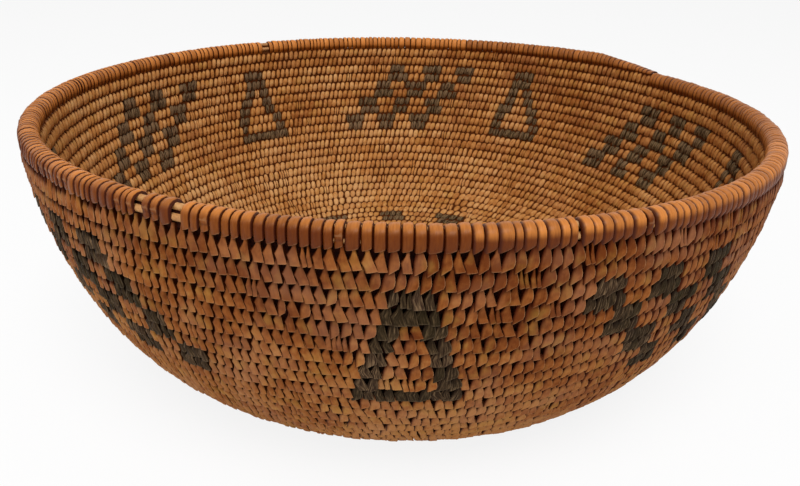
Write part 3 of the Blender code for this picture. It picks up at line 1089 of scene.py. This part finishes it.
# %% [markdown]
# ## Rods and the shadow behind the stitches
# A curve follows the coil, and a small circle swept along it makes a rod. The three rods of the rim are
# seen only in the gaps, with a short bar of painted shadow between and under them. Lower down the foundation
# is hidden, so the three rods are one plain bar there. Round it goes a bar of painted shadow along the coil,
# so that the small gaps between stitches look deep instead of letting light through the wall.

# %% Rod tree
ROD_SIDES = 10


def rod_tree():
    inputs = {"Path": "Geometry", "Radius": "Float", "Finish": "Material"}
    tree, given = start_tree("bend_rod", inputs)
    curve = add_node(tree, "GeometryNodeMeshToCurve", None, {0: given["Path"]})
    ring = {"Resolution": ROD_SIDES, "Radius": given["Radius"]}
    ring = add_node(tree, "GeometryNodeCurvePrimitiveCircle", None, ring)
    rod = {"Curve": curve, "Profile Curve": ring, "Fill Caps": True}
    rod = add_node(tree, "GeometryNodeCurveToMesh", None, rod)
    return end_tree(tree, rod, given["Finish"])


ROD_TREE = rod_tree()


def coil_path(first, last, steps, below, out):
    """A line of points along the coil, for a rod to follow."""
    points = [coil_point(first + (last - first) * i / steps, below, out) for i in range(steps + 1)]
    data = bpy.data.meshes.new("rod_path")
    data.from_pydata(points, [(i, i + 1) for i in range(steps)], [])
    return data


# %% Rim rods
ROD_RADIUS = 1.05 * MM
ROD_STEPS = 330
ROD_PLACES = {"outer": (0.3, 1.5), "inner": (0.3, -1.5), "top": (-2.1, 0.0)}  # down and out, in mm
for name, (below, out) in ROD_PLACES.items():
    path = coil_path(RIM_TAPER_TURNS, 1.0, ROD_STEPS, below * MM, out * MM)
    rod = run_tree(f"peeled_rod_{name}", path, ROD_TREE, {"Radius": ROD_RADIUS, "Finish": ROD_WOOD})
    rod.data.shade_smooth()
    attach(rod, "root")
    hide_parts(f"rim_rod_{name}")
    print(rod.name, len(rod.data.polygons), "faces")


# %% Bars along the coil
SHADOW_BAR_SECTION = ((-2.72, 1.4), (2.72, 1.8), (2.72, -2.6), (-2.72, -2.6))
FOUNDATION_SECTION = ((-1.9, 0.0), (0.9, 1.2), (0.9, -1.6))
FOUNDATION_PIECES = 8
GAP_SECTION = ((-1.4, 0.4), (0.6, 1.5), (3.2, 1.7), (3.2, -2.4), (0.6, -1.5), (-1.4, -0.4))
WIDE_SIDES, NARROW_SIDES = 96, 32  # of a full turn
NARROW_RADIUS = 0.04
GAP_REACH = 1.0 / WIDE_SIDES  # turns


def coil_bar(name, first, last, section, finish, node=None):
    """A bar along the coil, with the given corners as (down, out) pairs."""
    mesh = bmesh.new()
    inside = mesh.verts.layers.float.new("inside")
    rings = []
    turns = first
    while turns < last:
        rings.append([mesh.verts.new(coil_point(turns, below * MM, out * MM)) for below, out in section])
        for vertex, (below, out) in zip(rings[-1], section):
            vertex[inside] = float(out < 0.0)
        sides = WIDE_SIDES if wall_point(turns * COIL_PITCH)[0] > NARROW_RADIUS else NARROW_SIDES
        turns += 1.0 / sides
    for ring, next_ring in zip(rings, rings[1:]):
        for i in range(len(ring)):
            j = (i + 1) % len(ring)
            mesh.faces.new((ring[i], ring[j], next_ring[j], next_ring[i]))
    mesh.faces.new(rings[0][::-1])
    mesh.faces.new(rings[-1])
    bmesh.ops.recalc_face_normals(mesh, faces=mesh.faces)
    if mesh.calc_volume(signed=True) < 0.0:
        bmesh.ops.reverse_faces(mesh, faces=mesh.faces)
    data = bpy.data.meshes.new(name)
    mesh.to_mesh(data)
    mesh.free()
    data.materials.append(finish)
    piece = new_object(name, data)
    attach(piece, "root")
    if node:
        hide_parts(node)
    print(name, len(data.polygons), "faces")


coil_bar("wall_inner_coil", 1.0, WALL_TURNS + 1.0, SHADOW_BAR_SECTION, SHADOW)
coil_bar("base_inner_coil", WALL_TURNS + 1.0, COIL_TURNS - 0.1, SHADOW_BAR_SECTION, SHADOW)
for number, (azimuth, _) in enumerate(WORN_RIM, 1):
    start, stop = turns_to(azimuth) - GAP_REACH, turns_to(azimuth) + 1.5 * GAP_REACH
    coil_bar(f"worn_gap_{number}_shade", start, stop, GAP_SECTION, SHADOW)
step = (LAST_STITCH_TURNS - 1.0) / FOUNDATION_PIECES
for number in range(FOUNDATION_PIECES):
    start = 1.0 + number * step
    name = f"foundation_{number + 1}"
    coil_bar(
        "peeled_rods_" + name, start, start + step, FOUNDATION_SECTION, ROD_WOOD, name
    )

# %% [markdown]
# ## The start knot
# The coil begins as a tight button: the splint is wound through its middle again and again, so the stitches
# stand like the petals of a small flower, on both sides of the base.

# %% Start knot
KNOT_WRAPS = 11
KNOT_REACH = 2.1 * MM
KNOT_PETAL = (
    (4.6, 4.6, -1.35, 1.35, (2.2, 3.1, 2.2)),
    (3.0, 3.0, -1.15, 1.15, (2.7, 3.7, 2.7)),
    (0.8, 0.8, -0.62, 0.62, (2.7, 3.7, 2.7)),
    (-1.0, -1.0, -0.30, 0.30, (2.4, 3.1, 2.4)),
    (-1.9, -1.9, -0.10, 0.10, (2.0, 2.0, 2.0)),
)
KNOT_SHADES = (0.5, 0.0, 0.0, 0.0, 0.5), (0.8, 0.1, 0.0, 0.1, 0.8), 0.0
wraps = bpy.data.collections.new("knot_wraps")
knot_face = (KNOT_PETAL, *KNOT_SHADES)
wraps.objects.link(stitch_body("knot_wrap", (knot_face, knot_face)))
knot_seats = []
for number in range(KNOT_WRAPS):
    seat = Seat(COIL_TURNS, 0, number / KNOT_WRAPS)
    seat.azimuth = 2.0 * math.pi * number / KNOT_WRAPS
    across, along = math.cos(seat.azimuth) * KNOT_REACH, math.sin(seat.azimuth) * KNOT_REACH
    seat.point = Vector((across, along, WALL_THICKNESS / 2.0))
    seat.lean = math.pi / 2.0
    knot_seats.append(seat)
knot = sew(
    "start_knot_wraps", knot_seats, NATURAL, KNOT_SEED, ["start_knot"], RIM_UNEVEN, wraps
)
print("start knot:", len(knot.data.polygons), "faces")

# %% Tidy away the patterns
for collection in (stitches, bands, wraps):
    for template in list(collection.objects):
        bpy.data.objects.remove(template)
    bpy.data.collections.remove(collection)

# %% [markdown]
# ## Light and floor
# The bowl stands on a plain white surface in soft light. A large lamp above and in front gives the rim its
# shine. The camera sees the floor and the world as white, and the floor still takes the bowl's shadow.

# %% Floor
FLOOR_REACH = 6.0
FLOOR_WHITENESS = 0.86  # what the camera sees of the floor as pure white
WHITE = (1.0, 1.0, 1.0, 1.0)
floor_mesh = bpy.data.meshes.new("floor")
corners = [(x * FLOOR_REACH, y * FLOOR_REACH, 0.0) for x, y in ((-1, -1), (1, -1), (1, 1), (-1, 1))]
floor_mesh.from_pydata(corners, [], [(0, 1, 2, 3)])
floor = new_object("floor", floor_mesh)
paper, paper_tree = start_finish("white_paper")
paper_shader = paper_tree.nodes["Principled BSDF"]
paper_shader.inputs["Base Color"].default_value = (0.92, 0.92, 0.92, 1.0)
paper_shader.inputs["Roughness"].default_value = 0.9
glow = add_node(paper_tree, "ShaderNodeEmission", None, {"Color": WHITE, "Strength": 1.0})
seen_share = add_node(paper_tree, "ShaderNodeLightPath", None, None, "Is Camera Ray") * FLOOR_WHITENESS
plain = Wire(paper_tree, paper_shader.outputs[0])
whitened = add_node(paper_tree, "ShaderNodeMixShader", None, {0: seen_share, 1: plain, 2: glow})
paper_tree.links.new(whitened.socket, paper_tree.nodes["Material Output"].inputs["Surface"])
floor_mesh.materials.append(paper)
print("floor", 2.0 * FLOOR_REACH, "m across")

# %% Lamps and world
LIT_POINT = Vector((0.0, 0.0, 0.05))
SKY_STRENGTH = 0.42


def soft_lamp(name, place, size, power):
    data = bpy.data.lights.new(name, "AREA")
    data.shape = "DISK"
    data.size = size
    data.energy = power
    lamp = new_object(name, data)
    lamp.location = place
    lamp.rotation_euler = (LIT_POINT - Vector(place)).to_track_quat("-Z", "Y").to_euler()
    print(name, power, "W")


soft_lamp("top_lamp", (0.08, -0.75, 1.35), 0.9, 16.0)
soft_lamp("side_lamp", (-1.2, -0.9, 0.9), 0.8, 3.0)

world = bpy.data.worlds.new("studio")
bpy.context.scene.world = world
world.use_nodes = True
sky = world.node_tree
sky.nodes.clear()
kinds = ("Is Camera Ray", "Is Glossy Ray", "Is Transmission Ray")
rays = [add_node(sky, "ShaderNodeLightPath", None, None, kind) for kind in kinds]
seen = rays[0].math("MAXIMUM", rays[1]).math("MAXIMUM", rays[2])
dim = add_node(sky, "ShaderNodeBackground", None, {"Color": WHITE, "Strength": SKY_STRENGTH})
white = add_node(sky, "ShaderNodeBackground", None, {"Color": WHITE, "Strength": 1.0})
mixed = add_node(sky, "ShaderNodeMixShader", None, {0: seen, 1: dim, 2: white})
sky_output = sky.nodes.new("ShaderNodeOutputWorld")
sky.links.new(mixed.socket, sky_output.inputs["Surface"])

bpy.context.scene.view_settings.view_transform = "Standard"
print("view transform:", bpy.context.scene.view_settings.view_transform)
